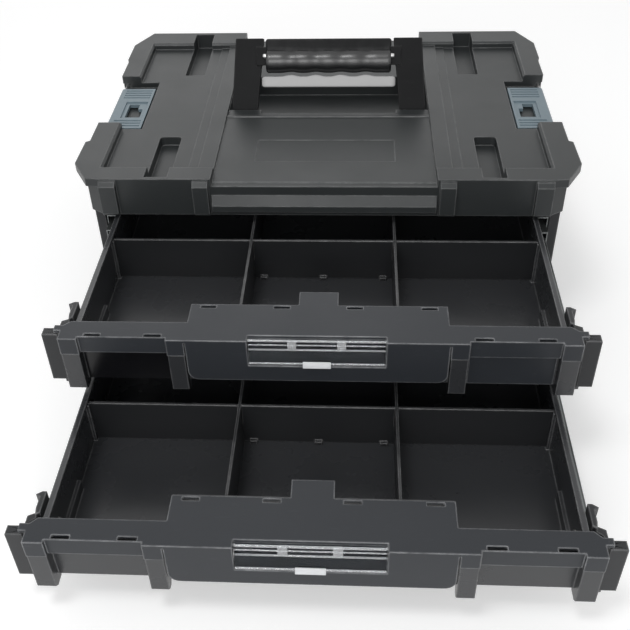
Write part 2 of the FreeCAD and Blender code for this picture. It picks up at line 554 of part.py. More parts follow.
class Drawer:
    """One drawer: F is its shut front plane, T its top and H the bottom of its posts."""

    def __init__(self, label, top, opened):
        self.label, self.top, self.opened = label, top, opened
        self.front = -d.front_plane
        self.low = top - d.drawer_height
        self.shift = (0, -opened, 0)

    def body(self, label, share=1):
        return new_body(self.label + "_" + label, (0, -share * self.opened, 0))

    def tray(self):
        body = self.body("tray")
        front, top = self.front, self.top
        wide, wall, pull = d.tray_half_width, d.tray_wall, d.pull_half_width
        floor = top - d.tray_floor_drop
        under = top - d.plate_thick
        panel, back = front + d.panel_setback, front + d.tray_back
        outside = [(pull, front + d.pull_depth), (pull, panel), (wide, panel), (wide, back)]
        prism(body, "XY", mirrored(outside), floor - wall, under)
        round_edges(body, 6, lambda c, v: abs(v.z) > 0.9 and near(c.y, back.number))
        inner = wide - wall
        inside = [(pull + wall, front + d.pull_depth + wall), (pull + wall, panel + wall),
                  (inner, panel + wall), (inner, back - wall)]
        prism(body, "XY", mirrored(inside), floor, top + PAST, cut=True)
        block(body, both_ways(inner - d.ledge_width, inner + 1),
              (panel + wall - 1, front + d.ledge_end), (floor - 1, floor + d.ledge_rise))
        guide = front + d.cross_wall_front - d.wall_fit
        block(body, both_ways(inner - d.guide_reach, inner + 1), (guide - d.guide_width, guide),
              (floor - 1, top - d.divider_drop))
        block_back = front + d.block_depth
        rim = d.flange_width
        block(body, both_ways(wide - rim, wide), (block_back + 0.3, back - 6),
              (under - 1, top - d.wall_top_drop))
        low = self.low
        seam = top - d.band_height
        inset = 0.4
        for x in both_ways(d.inner_post_in + inset, d.inner_post_out - inset):
            prism(body, "YZ", [(panel + 1, low + 6), (panel + 1, seam), (front + inset, seam),
                  (front + inset, low + 3), (front + inset + 3, low), (panel - 2, low)], *x)
        for x in both_ways(d.outer_post_in + inset, d.outer_post_out - inset):
            prism(body, "YZ", [(block_back - 4, floor), (block_back - 4, seam),
                  (front + inset, seam), (front + inset, low + 3), (front + inset + 3, low),
                  (panel + 3, low)], *x)
        pin = (d.lever_pivot_x, front + d.lever_pivot_back)
        block(body, both_ways(d.outer_post_out - 2, pin[0] + 2.5), (pin[1] - 3, pin[1] + 3),
              (low, low + 3))
        studs(body, "XY", [(side * pin[0], pin[1]) for side in (-1, 1)],
              d.lever_pin_radius + d.pin_gap, low + 0.8, low + 3 + PAST, cut=True)
        studs(body, "YZ", self.screw_centres(), d.screw_radius + d.pin_gap, -wide - 1,
              wide + 1, cut=True)

    def screw_centres(self):
        """Where the inner rails are screwed to the tray walls, as (y, z) points."""
        return [(self.front + start, self.top - d.rail_drop + 3.3) for start in (36, 150, 266)]

    def cap(self):
        """Front band, apron with the label bed, top plate and tongue, in one moulding."""
        body = self.body("front_cap")
        front, top, plate = self.front, self.top, d.plate_thick
        seam = top - d.band_height
        wide, apron = d.outer_post_out, d.apron_half_width
        block_back = front + d.block_depth
        corner = 6
        deck = [(0, front + d.small_tongue_depth),
                (d.small_tongue_half, front + d.small_tongue_depth),
                (d.small_tongue_half, front + d.tongue_depth),
                (apron + 0.5, front + d.tongue_depth), (apron + 0.5, block_back),
                (wide - corner, block_back), (wide, block_back - corner), (wide, front),
                (d.outer_post_in, front), (d.outer_post_in, front + d.band_setback),
                (d.inner_post_out, front + d.band_setback), (d.inner_post_out, front)]
        whole = deck + [(-x, y) for x, y in reversed(deck[1:])]
        prism(body, "XY", whole, top - plate, top)
        for low, high in ((d.inner_post_in, d.inner_post_out), (d.outer_post_in, wide)):
            block(body, both_ways(low, high), (front, front + d.panel_setback - 0.5),
                  (seam, top - 1))
        block(body, both_ways(d.inner_post_out - 1, d.outer_post_in + 1),
              (front + d.band_setback, front + d.band_setback + plate), (seam, top - 1))
        bed = d.flap_half_width + d.flap_side_gap
        low = top - d.apron_height
        block(body, both_ways(bed, apron), (front, front + plate), (low, top - 1))
        lean = math.tan(math.radians(SIZES["flap_lean"]))
        hinge_y, hinge_z = front + d.flap_hinge_back, top - d.flap_hinge_drop
        drop = d.flap_length + 2
        bed_top = hinge_y + d.flap_bed_gap
        profile = [(bed_top, top - 0.5), (bed_top, top - 3), (bed_top - lean * drop, top - 3 - drop),
                   (front, top - 3 - drop), (front, low), (front + plate, low),
                   (front + plate, top - 3 - drop), (bed_top + plate, top - 3),
                   (bed_top + plate, top - 0.5)]
        prism(body, "YZ", profile, -bed - 0.01, bed + 0.01)
        block(body, (-bed, bed), (front - PAST, bed_top), (top - plate - 0.2, top + PAST),
              cut=True)
        for side in (-1, 1):
            round_edges(body, 8, lambda c, v, s=side: abs(v.y) > 0.9 and near(c.x, s * apron.number)
                        and near(c.z, low.number))
        block(body, both_ways(bed - 0.01, bed + d.flap_pin_length + 1), (front, hinge_y + 6),
              (top - 8, top - 1))
        hole_end = bed + d.flap_pin_length + 0.1
        rod(body, "YZ", (hinge_y, hinge_z), d.flap_pin_radius + d.pin_gap, -hole_end, hole_end,
            cut=True)
        clips = [rectangle(x, (front + start, front + start + 3))
                 for near_x, far_x, start in ((162, 174.3, 4), (116, 129, 4),
                                              (78.7, 90.7, 38.5), (21.8, 34.1, 38.5))
                 for x in both_ways(near_x, far_x)]
        prism(body, "XY", clips, top - plate - 1, top + PAST, cut=True)
        pin = (d.lever_pivot_x, front + d.lever_pivot_back)
        block(body, both_ways(wide - 2, pin[0] + 2.5), (pin[1] - 3, pin[1] + 3),
              (top - plate, top))
        studs(body, "XY", [(side * pin[0], pin[1]) for side in (-1, 1)],
              d.lever_pin_radius + d.pin_gap, top - plate - PAST, top - 0.8, cut=True)

    def walls(self):
        """The removable cross wall and the two long dividers, half-lapped where they meet."""
        front, top = self.front, self.top
        floor, high = top - d.tray_floor_drop, top - d.divider_drop
        fit, wall, thick = d.wall_fit, d.tray_wall, d.divider_thick
        wall_in = d.tray_half_width - wall - fit
        half_way = floor + 0.5 * (d.tray_floor_drop - d.divider_drop)
        y = (front + d.cross_wall_front, front + d.cross_wall_front + thick)
        cross = self.body("cross_wall")
        block(cross, (-wall_in, wall_in), y, (floor, high))
        tab = d.foot_tab
        feet = tuple((x - tab, x + tab) for x in (-d.divider_x + 3 * tab, 0, d.divider_x - 3 * tab))
        block(cross, feet, (y[0] - tab, y[0] + 1), (floor, floor + tab))
        block(cross, both_ways(d.divider_x - 0.5 * thick - fit, d.divider_x + 0.5 * thick + fit),
              (y[0] - 1, y[1] + 1), (half_way, high + PAST), cut=True)
        ends = (front + d.pull_depth + wall + fit, front + d.tray_back - wall - fit)
        for side, name in ((-1, "divider_left"), (1, "divider_right")):
            divider = self.body(name)
            middle = side * d.divider_x
            block(divider, (middle - 0.5 * thick, middle + 0.5 * thick), ends, (floor, high))
            block(divider, (middle - thick, middle + thick), (y[0] - fit, y[1] + fit),
                  (floor - PAST, half_way + fit), cut=True)

    def flap(self):
        """Clear label flap that hangs on two moulded pins and leans over the label bed."""
        pin_y, pin_z = self.front + d.flap_hinge_back, self.top - d.flap_hinge_drop
        body = new_body(self.label + "_label_flap", (0, pin_y - self.opened, pin_z),
                        -SIZES["flap_lean"])
        wide, thick, long = d.flap_half_width, d.flap_thick, d.flap_length
        block(body, (-wide, wide), (-0.5 * thick, 0.5 * thick), (-long, 1))
        tab = d.flap_tab_half
        block(body, (-tab, tab), (-0.5 * thick, 0.5 * thick), (-long - d.flap_tab_long, 1 - long))
        for x in both_ways(wide - 1, wide + d.flap_pin_length):
            rod(body, "YZ", (0, 0), d.flap_pin_radius, *x)
        for x in both_ways(15, 22):
            prism(body, "YZ", eight_sided((0, 0), d.flap_pin_radius + 0.3), *x)

    def levers(self):
        """End levers: a finger plate outside the post and a barbed hook beside the tray."""
        front, top, low = self.front, self.top, self.low
        pin_x, pin_y = d.lever_pivot_x, front + d.lever_pivot_back
        ear = (front + d.ear_front, front + d.ear_back)
        plate_low, plate_high = low + 3.5, top - d.plate_thick - 0.5
        pins = self.body("lever_pins")
        for side, name in ((-1, "lever_left"), (1, "lever_right")):
            body = self.body(name)
            block(body, (side * pin_x, side * d.lever_out), ear, (plate_low, plate_high))
            prism(body, "XY", eight_sided((side * pin_x, pin_y), d.lever_knuckle), plate_low,
                  plate_high)
            hook = [(pin_x - 2.3, pin_y), (pin_x + 0.5, pin_y), (pin_x + 0.5, pin_y + 12),
                    (191, pin_y + 15), (191, pin_y + 25), (194.4, pin_y + 27),
                    (190, pin_y + 30), (187, pin_y + 30), (187, pin_y + 13),
                    (pin_x - 2.3, pin_y + 6.5)]
            prism(body, "XY", [(side * x, y) for x, y in hook], top - d.hook_depth, plate_high)
            tail = hook[3:8] + [(187, pin_y + 11.5), (190, pin_y + 9.5)]
            prism(body, "XY", [(side * x, y) for x, y in tail], plate_high - 1,
                  top + d.hook_rise)
            rod(body, "XY", (side * pin_x, pin_y), d.lever_pin_radius + d.pin_gap,
                plate_low - PAST, plate_high + PAST, cut=True)
            rod(pins, "XY", (side * pin_x, pin_y), d.lever_pin_radius, low + 1, top - 1)

    def rail_screws(self):
        body = self.body("rail_screws")
        wide, wall = d.tray_half_width, d.tray_wall
        for x in both_ways(wide - wall, wide + d.rail_gauge):
            studs(body, "YZ", self.screw_centres(), d.screw_radius, *x)
        for x in both_ways(wide - wall - d.screw_head_thick, wide - wall):
            studs(body, "YZ", self.screw_centres(), d.screw_head, *x)

    def plates(self):
        """Bare glossy plates on the two outer panels."""
        for low, high, name in ((-d.outer_post_in, -d.inner_post_out, "plate_left"),
                                (d.inner_post_out, d.outer_post_in, "plate_right")):
            body = self.body(name)
            y = self.front + d.panel_setback
            block(body, (low + 0.8, high - 0.8), (y - 1.5, y),
                  (self.top - 46.5, self.top - d.band_height - 0.3))

    def channel(self, label, share, side, upper_half, length):
        """A rolled rail whose section is given by its upper half, mirrored downwards."""
        body = self.body(label, share)
        level = self.top - d.rail_drop
        web = d.tray_half_width
        section = [(side * (web + u), level + v) for u, v in upper_half]
        section += [(side * (web + u), level - v) for u, v in reversed(upper_half)]
        prism(body, "XZ", section, *length)
        return body

    def cage(self, label, share, side, length, ball, u, v, upper_half):
        """A bent strip with windows that keeps two rows of balls apart."""
        body = self.channel(label, share, side, upper_half, length)
        level, x = self.top - d.rail_drop, side * (d.tray_half_width + u)
        places = (length[0] + d.cage_margin, length[1] - d.cage_margin)
        open_half = ball + d.ball_gap
        windows = [rectangle((x - open_half, x + open_half), (y - open_half, y + open_half))
                   for y in places]
        prism(body, "XY", windows, level - v - 2 * ball, level + v + 2 * ball, cut=True)
        middles = [(y, level + row * v) for y in places for row in (-1, 1)]
        prism(body, "YZ", [eight_sided(middle, ball) for middle in middles], x - ball, x + ball)
        ends = (x - ball).number, (x + ball).number
        reach = ball.number
        round_edges(body, 0.55 * ball, lambda c, v: abs(v.x) < 0.1
                    and (near(c.x, ends[0]) or near(c.x, ends[1]))
                    and any(abs(c.y - y.number) < reach and abs(c.z - z.number) < reach
                            for y, z in middles), "Chamfer")

    def slides(self):
        """Three-member full-extension ball slides on both sides of the tray."""
        front = self.front
        stack, gauge = d.rail_stack, d.rail_gauge
        fixed = (-d.rail_front, d.rail_length - d.rail_front)
        middle = (-d.middle_front, d.middle_length - d.middle_front)
        tray_rail = (front + d.block_depth + 2, front + d.tray_back - 2)
        outer_cage = (-d.outer_cage_front, d.outer_cage_length - d.outer_cage_front)
        inner_cage = (-d.inner_cage_front, d.inner_cage_length - d.inner_cage_front)
        high = 0.5 * d.rail_height
        for side, name in ((-1, "_left"), (1, "_right")):
            Drawer.channel(self.shut(), "rail_fixed" + name, 1, side, [
                (stack, high), (3.5, high), (3.5, high - gauge - 0.7),
                (4.3, high - gauge - 0.7), (4.3, high - gauge), (stack - gauge, high - gauge)],
                fixed)
            self.channel("rail_middle" + name, 0.5, side, [
                (10.3, 12.4), (3, 12.4), (3, 12.9), (2, 12.9), (2, 10.7), (3, 10.7),
                (3, 11.2), (9.2, 11.2)], middle)
            inner = self.channel("rail_inner" + name, 1, side, [
                (0, 7.6), (7.1, 7.6), (7.1, 8.1), (7.9, 8.1), (7.9, 6.4), (gauge, 6.4)],
                tray_rail)
            web = both_ways(d.tray_half_width - 1, d.tray_half_width + gauge + 1)
            studs(inner, "YZ", self.screw_centres(), d.screw_radius + d.pin_gap,
                  *web[0 if side < 0 else 1], cut=True)
            self.cage("cage_outer" + name, 0.25, side, outer_cage, d.outer_ball, 7.4, 14.35, [
                (11.1, 14.75), (5.2, 14.75), (5.2, 13.95), (10.7, 13.95)])
            self.cage("cage_inner" + name, 0.75, side, inner_cage, d.inner_ball, 4.9, 9.4, [
                (8.8, 9.8), (3.3, 9.8), (3.3, 9.0), (8.3, 9.0)])

    def shut(self):
        """The same drawer with no opening, for the rails that stay in the housing."""
        return Drawer(self.label, self.top, as_size(0))

    def build(self):
        self.tray()
        self.cap()
        self.walls()
        self.flap()
        self.levers()
        self.rail_screws()
        self.slides()


def check(shapes_of):
    """Stops before anything is written if a feature failed or a shape is unsound."""
    for item in doc.Objects:
        if "Invalid" in item.State or "Error" in item.State:
            raise RuntimeError("%s failed: %s" % (item.Label, item.State))
    for item in shapes_of:
        if item.Shape.isNull() or not item.Shape.isValid():
            raise RuntimeError("%s has no sound shape" % item.Label)


housing_shell()
top_cover()
cover_screws()
handle()
handle_pins()
latches()
upper = Drawer("upper", d.upper_top, d.upper_open)
upper.build()
upper.plates()
lower = Drawer("lower", d.upper_top - d.drawer_pitch, d.lower_open)
lower.build()

check(pieces)
os.makedirs("parts", exist_ok=True)
for piece in pieces:
    piece.Shape.exportStep(os.path.join("parts", piece.Label + ".step"))
    print(piece.Label, len(piece.Shape.Solids), round(piece.Shape.Volume))
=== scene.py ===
import json
import math

import bmesh
import bpy
from bpy.props import FloatProperty, FloatVectorProperty, PointerProperty
from mathutils import Matrix, Vector


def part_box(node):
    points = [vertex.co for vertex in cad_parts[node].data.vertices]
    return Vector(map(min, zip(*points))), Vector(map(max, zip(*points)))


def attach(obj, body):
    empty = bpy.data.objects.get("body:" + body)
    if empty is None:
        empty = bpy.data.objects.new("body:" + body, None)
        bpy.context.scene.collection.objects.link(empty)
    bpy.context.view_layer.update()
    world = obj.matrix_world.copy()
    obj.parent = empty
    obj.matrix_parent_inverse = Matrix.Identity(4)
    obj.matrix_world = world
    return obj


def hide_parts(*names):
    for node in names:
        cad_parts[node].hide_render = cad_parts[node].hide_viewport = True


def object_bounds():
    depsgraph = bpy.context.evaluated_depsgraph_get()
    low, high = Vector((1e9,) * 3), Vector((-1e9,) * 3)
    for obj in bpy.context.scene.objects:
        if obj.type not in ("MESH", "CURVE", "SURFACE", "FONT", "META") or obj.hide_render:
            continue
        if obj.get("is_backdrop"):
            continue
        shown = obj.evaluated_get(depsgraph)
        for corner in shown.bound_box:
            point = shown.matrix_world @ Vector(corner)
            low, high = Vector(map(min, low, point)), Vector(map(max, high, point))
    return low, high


bl_info = {
    "name": "Two-drawer tool chest",
    "version": (1, 0, 0),
    "blender": (4, 5, 0),
    "location": "3D View > Sidebar > Tool chest",
    "description": "Finishes, trim and studio for a stackable chest with two drawers",
    "category": "Object",
}

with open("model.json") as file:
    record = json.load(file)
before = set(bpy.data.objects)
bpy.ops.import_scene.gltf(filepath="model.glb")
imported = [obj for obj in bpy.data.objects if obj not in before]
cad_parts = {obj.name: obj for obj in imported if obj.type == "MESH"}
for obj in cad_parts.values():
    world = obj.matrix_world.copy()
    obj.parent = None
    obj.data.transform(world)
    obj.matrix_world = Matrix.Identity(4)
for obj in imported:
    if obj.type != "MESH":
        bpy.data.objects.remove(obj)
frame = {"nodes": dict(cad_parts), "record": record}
NODES = frame["nodes"]
JOINTS = frame["record"]["behaviour"]["joints"]
DRAWERS = ("upper", "lower")
MM = 0.001

WHITE = (1.0, 1.0, 1.0, 1.0)
JOIN_WITHIN = 0.1 * MM
CREASE = math.radians(25)
SMOOTH_BELOW = math.radians(35)


# settings

class ChestFinish(bpy.types.PropertyGroup):
    """Colours and edge rounding of the chest."""

    edge: FloatProperty(name="Edge rounding", description="Radius left on moulded edges",
                        default=0.0009, subtype="DISTANCE", unit="LENGTH")
    grain: FloatProperty(name="Grain depth", description="Depth of the moulded surface texture",
                         default=0.00005, subtype="DISTANCE", unit="LENGTH")
    lid: FloatVectorProperty(name="Lid", description="Colour of the lid moulding",
                             default=(0.025, 0.028, 0.029), subtype="COLOR")
    front: FloatVectorProperty(name="Fronts", description="Colour of the drawer fronts",
                               default=(0.026, 0.029, 0.034), subtype="COLOR")
    body: FloatVectorProperty(name="Body", description="Colour of the housing and trays",
                              default=(0.020, 0.021, 0.023), subtype="COLOR")
    latch: FloatVectorProperty(name="Latches", description="Colour of the side latches",
                               default=(0.145, 0.195, 0.225), subtype="COLOR")
    insert: FloatVectorProperty(name="Grip insert", description="Colour of the bar under the grip",
                                default=(0.42, 0.42, 0.42), subtype="COLOR")


class ChestHandle(bpy.types.PropertyGroup):
    """The folding handle as it leans in the photograph's pose."""

    lean: FloatProperty(name="Lean", description="How far the handle leans back",
                        default=math.radians(25), subtype="ANGLE")
    hollow: FloatProperty(name="Finger hollows", description="Depth of the finger hollows",
                          default=0.0010, subtype="DISTANCE", unit="LENGTH")


class ChestFlap(bpy.types.PropertyGroup):
    """The clear label flaps."""

    half_width: FloatProperty(name="Half width", description="From the middle to an end",
                              default=0.051, subtype="DISTANCE", unit="LENGTH")
    length: FloatProperty(name="Length", description="From the hinge to the lower edge",
                          default=0.0195, subtype="DISTANCE", unit="LENGTH")
    tab_half: FloatProperty(name="Tab", description="Half the width of the finger tab",
                            default=0.0105, subtype="DISTANCE", unit="LENGTH")
    tab_long: FloatProperty(name="Tab length", description="How far the tab stands out",
                            default=0.003, subtype="DISTANCE", unit="LENGTH")
    lean: FloatProperty(name="Lean", description="How far the lower edge leans forwards",
                        default=math.radians(17), subtype="ANGLE")


class StudioLight(bpy.types.PropertyGroup):
    """Studio light and camera."""

    key: FloatProperty(name="Key", description="Power of the lamp above the camera",
                       default=8.0, unit="POWER")
    fill: FloatProperty(name="Fill", description="Power of the lamp low in front",
                        default=12.0, unit="POWER")
    back: FloatProperty(name="Back light", description="Power of the large lamp behind",
                        default=5.0, unit="POWER")
    sky: FloatProperty(name="Sky", description="Strength of the even light", default=0.5)


# node groups and materials

def node(tree, kind, **values):
    """Adds a shader node and sets its properties or, by name, its inputs."""
    made = tree.nodes.new(kind)
    for name, value in values.items():
        if hasattr(made, name):
            setattr(made, name, value)
        else:
            made.inputs[name.replace("_", " ")].default_value = value
    return made


def new_group(name, inputs, outputs):
    """A shader node group with its named inputs and outputs."""
    tree = bpy.data.node_groups.new(name, "ShaderNodeTree")
    for label, value in inputs:
        socket = tree.interface.new_socket(label, in_out="INPUT", socket_type="NodeSocketFloat")
        socket.default_value = value
    for label, kind in outputs:
        tree.interface.new_socket(label, in_out="OUTPUT", socket_type=kind)
    return tree, tree.nodes.new("NodeGroupInput"), tree.nodes.new("NodeGroupOutput")


def grain_group():
    """Fine moulded texture: a height, and a mask of slow changes in the sheen."""
    tree, given, result = new_group(
        "Moulded grain", [("Scale", 1400.0), ("Patch scale", 14.0)],
        [("Height", "NodeSocketFloat"), ("Patch", "NodeSocketFloat")])
    place = node(tree, "ShaderNodeTexCoord")
    fine = node(tree, "ShaderNodeTexNoise", Detail=3.0, Roughness=0.6)
    cell = node(tree, "ShaderNodeTexVoronoi", feature="SMOOTH_F1")
    patch = node(tree, "ShaderNodeTexNoise", Detail=4.0, Roughness=0.62)
    mix = node(tree, "ShaderNodeMath", operation="MULTIPLY_ADD")
    mix.inputs[1].default_value = 0.6
    link = tree.links.new
    link(place.outputs["Object"], fine.inputs["Vector"])
    link(place.outputs["Object"], cell.inputs["Vector"])
    link(place.outputs["Object"], patch.inputs["Vector"])
    link(given.outputs["Scale"], fine.inputs["Scale"])
    link(given.outputs["Scale"], cell.inputs["Scale"])
    link(given.outputs["Patch scale"], patch.inputs["Scale"])
    link(cell.outputs["Distance"], mix.inputs[0])
    link(fine.outputs["Fac"], mix.inputs[2])
    link(mix.outputs[0], result.inputs["Height"])
    link(patch.outputs["Fac"], result.inputs["Patch"])
    return tree


def scuff_group():
    """Thin random scratches and a little dust, as a mask."""
    tree, given, result = new_group("Scuffs", [("Scale", 60.0), ("Amount", 0.5)],
                                    [("Mask", "NodeSocketFloat")])
    place = node(tree, "ShaderNodeTexCoord")
    stretch = node(tree, "ShaderNodeMapping", Scale=(1.0, 9.0, 4.0), Rotation=(0.2, 0.4, 0.7))
    lines = node(tree, "ShaderNodeTexNoise", Detail=6.0, Roughness=0.7)
    dust = node(tree, "ShaderNodeTexNoise", Scale=900.0, Detail=1.0)
    narrow = node(tree, "ShaderNodeMapRange", From_Min=0.60, From_Max=0.78)
    spots = node(tree, "ShaderNodeMapRange", From_Min=0.72, From_Max=0.80)
    both = node(tree, "ShaderNodeMath", operation="MAXIMUM")
    scaled = node(tree, "ShaderNodeMath", operation="MULTIPLY")
    link = tree.links.new
    link(place.outputs["Object"], stretch.inputs["Vector"])
    link(stretch.outputs["Vector"], lines.inputs["Vector"])
    link(place.outputs["Object"], dust.inputs["Vector"])
    link(given.outputs["Scale"], lines.inputs["Scale"])
    link(lines.outputs["Fac"], narrow.inputs["Value"])
    link(dust.outputs["Fac"], spots.inputs["Value"])
    link(narrow.outputs["Result"], both.inputs[0])
    link(spots.outputs["Result"], both.inputs[1])
    link(both.outputs[0], scaled.inputs[0])
    link(given.outputs["Amount"], scaled.inputs[1])
    link(scaled.outputs[0], result.inputs["Mask"])
    return tree


def edge_highlight_group():
    """Painted highlight along the outer and inner edges: a mask, broken up by noise, of where the
    colour is paled, and the normal rounded there.
    """
    tree, given, result = new_group("Bright edges", [("Radius", 0.0015), ("Amount", 0.5)],
                                    [("Mask", "NodeSocketFloat"),
                                     ("Normal", "NodeSocketVector")])
    place = node(tree, "ShaderNodeTexCoord")
    rounded = node(tree, "ShaderNodeBevel", samples=4)
    plain = node(tree, "ShaderNodeNewGeometry")
    alike = node(tree, "ShaderNodeVectorMath", operation="DOT_PRODUCT")
    turned = node(tree, "ShaderNodeMapRange", From_Min=0.998, From_Max=0.975)
    broken = node(tree, "ShaderNodeTexNoise", Scale=75.0, Detail=5.0, Roughness=0.65)
    uneven = node(tree, "ShaderNodeMapRange", From_Min=0.35, From_Max=0.65, To_Min=0.35)
    both = node(tree, "ShaderNodeMath", operation="MULTIPLY")
    scaled = node(tree, "ShaderNodeMath", operation="MULTIPLY")
    link = tree.links.new
    link(given.outputs["Radius"], rounded.inputs["Radius"])
    link(rounded.outputs["Normal"], alike.inputs[0])
    link(plain.outputs["True Normal"], alike.inputs[1])
    link(alike.outputs["Value"], turned.inputs["Value"])
    link(place.outputs["Object"], broken.inputs["Vector"])
    link(broken.outputs["Fac"], uneven.inputs["Value"])
    link(turned.outputs["Result"], both.inputs[0])
    link(uneven.outputs["Result"], both.inputs[1])
    link(both.outputs[0], scaled.inputs[0])
    link(given.outputs["Amount"], scaled.inputs[1])
    link(scaled.outputs[0], result.inputs["Mask"])
    link(rounded.outputs["Normal"], result.inputs["Normal"])
    return tree


def group_node(tree, group, **values):
    """Places a node group in a material, with its own values."""
    made = tree.nodes.new("ShaderNodeGroup")
    made.node_tree = bpy.data.node_groups[group]
    for name, value in values.items():
        made.inputs[name.replace("_", " ")].default_value = value
    return made


def new_material(name):
    """An empty material, its node tree and its shader."""
    material = bpy.data.materials.new(name)
    material.use_nodes = True
    tree = material.node_tree
    return material, tree, tree.nodes["Principled BSDF"]


def varied(colour, share, lift=0.0):
    """A colour made darker or paler by a share, and lifted towards grey."""
    return [share * c + lift for c in colour]


def moulded(name, colour, depth, rough=0.40, spread=0.12, grain=1400.0, scuffs=0.35,
            specular=0.5, edges=0.0):
    """Moulded plastic: grain in the bump, slow sheen changes, light scuffs and a painted highlight
    along the edges.
    """
    material, tree, shader = new_material(name)
    shader.inputs["Specular IOR Level"].default_value = specular
    texture = group_node(tree, "Moulded grain", Scale=grain)
    wear = group_node(tree, "Scuffs", Amount=scuffs)
    bump = node(tree, "ShaderNodeBump", Distance=depth)
    sheen = node(tree, "ShaderNodeMapRange", To_Min=rough - spread, To_Max=rough + spread)
    tint = node(tree, "ShaderNodeMix", data_type="RGBA")
    tint.inputs["A"].default_value = (*colour, 1)
    tint.inputs["B"].default_value = (*varied(colour, 1.9, 0.02), 1)
    link = tree.links.new
    link(texture.outputs["Height"], bump.inputs["Height"])
    link(bump.outputs["Normal"], shader.inputs["Normal"])
    link(texture.outputs["Patch"], sheen.inputs["Value"])
    link(sheen.outputs["Result"], shader.inputs["Roughness"])
    link(wear.outputs["Mask"], tint.inputs["Factor"])
    link(tint.outputs["Result"], shader.inputs["Base Color"])
    if edges:
        # painted highlight: the edge mask pales the colour along the edges, by the share given in
        # edges
        edge_highlight = group_node(tree, "Bright edges", Amount=edges)
        pale = node(tree, "ShaderNodeMix", data_type="RGBA")
        pale.inputs["B"].default_value = (*varied(colour, 2.0, 0.26), 1)
        link(edge_highlight.outputs["Mask"], pale.inputs["Factor"])
        link(tint.outputs["Result"], pale.inputs["A"])
        link(pale.outputs["Result"], shader.inputs["Base Color"])
        link(edge_highlight.outputs["Normal"], bump.inputs["Normal"])
    return material


def metal(name, colour, rough=0.28, brush=(6.0, 600.0, 600.0)):
    """Rolled or turned metal with fine lines along one axis."""
    material, tree, shader = new_material(name)
    shader.inputs["Metallic"].default_value = 1.0
    shader.inputs["Base Color"].default_value = (*colour, 1)
    place = node(tree, "ShaderNodeTexCoord")
    stretch = node(tree, "ShaderNodeMapping", Scale=brush)
    lines = node(tree, "ShaderNodeTexNoise", Scale=1.0, Detail=3.0)
    sheen = node(tree, "ShaderNodeMapRange", To_Min=rough - 0.1, To_Max=rough + 0.14)
    bump = node(tree, "ShaderNodeBump", Distance=0.00002)
    link = tree.links.new
    link(place.outputs["Object"], stretch.inputs["Vector"])
    link(stretch.outputs["Vector"], lines.inputs["Vector"])
    link(lines.outputs["Fac"], sheen.inputs["Value"])
    link(sheen.outputs["Result"], shader.inputs["Roughness"])
    link(lines.outputs["Fac"], bump.inputs["Height"])
    link(bump.outputs["Normal"], shader.inputs["Normal"])
    return material


def clear_plastic(name, clear, white, rough, bending):
    """Clear moulded plastic, from a thin plate to an edge with a white diffuse share."""
    material, tree, shader = new_material(name)
    shader.inputs["Transmission Weight"].default_value = clear
    shader.inputs["IOR"].default_value = bending
    shader.inputs["Base Color"].default_value = (white, 1.02 * white, 1.04 * white, 1)
    place = node(tree, "ShaderNodeTexCoord")
    waves = node(tree, "ShaderNodeTexNoise", Scale=90.0, Detail=2.0)
    sheen = node(tree, "ShaderNodeMapRange", To_Min=0.5 * rough, To_Max=1.5 * rough)
    bump = node(tree, "ShaderNodeBump", Distance=0.00006)
    link = tree.links.new
    link(place.outputs["Object"], waves.inputs["Vector"])
    link(waves.outputs["Fac"], sheen.inputs["Value"])
    link(sheen.outputs["Result"], shader.inputs["Roughness"])
    link(waves.outputs["Fac"], bump.inputs["Height"])
    link(bump.outputs["Normal"], shader.inputs["Normal"])
    return material


def finish_of(node_name):
    """The finish that a piece of the chest has, by its name."""
    finishes = (
        ("rail_screws", "Zinc screw"), ("cover_screws", "Zinc screw"), ("pins", "Turned steel"),
        ("rail_", "Rolled steel"), ("cage", "Cage strip"), ("plate_left", "Gloss black"),
        ("plate_right", "Front plastic"), ("housing_shell", "Body plastic"),
        ("top_cover", "Lid plastic"),
        ("handle_grip", "Grip rubber"), ("handle_insert", "Insert plastic"),
        ("handle_frame", "Handle plastic"), ("latch_", "Latch plastic"),
        ("label_flap", "Clear plastic"), ("lever", "Lever plastic"),
        ("front_cap", "Front plastic"), ("tray", "Tray plastic"),
        ("divider", "Divider plastic"), ("cross_wall", "Divider plastic"))
    for part, finish in finishes:
        if part in node_name:
            return bpy.data.materials[finish]
    raise ValueError(node_name + " has no finish")


def soften(piece, width):
    """Rounds a CAD node's sharp edges without touching its own mesh."""
    weld = piece.modifiers.new("Join triangles", "WELD")
    weld.merge_threshold = JOIN_WITHIN
    bevel = piece.modifiers.new("Round edges", "BEVEL")
    bevel.width = width
    bevel.segments = 2
    bevel.limit_method = "ANGLE"
    bevel.angle_limit = CREASE
    bevel.use_clamp_overlap = False
    shade = piece.modifiers.new("Flat faces first", "WEIGHTED_NORMAL")
    shade.weight = 100


# the cover's flat fields show lines if its mesh is bevelled, so its finish rounds its edges
KEPT_SHARP = ("cage", "flap", "screws", "top_cover")


def rounding_of(node_name):
    """How much a node's edges are rounded, as a share of the moulded edge."""
    shares = (("front_cap", 0.3), ("housing", 0.5), ("handle_frame", 1.0),
              ("lever_", 0.6), ("tray", 0.3), ("divider", 0.3), ("cross_wall", 0.3),
              ("latch_", 0.3), ("plate_", 0.4), ("rail_", 0.2))
    return next((share for part, share in shares if part in node_name), 0.15)


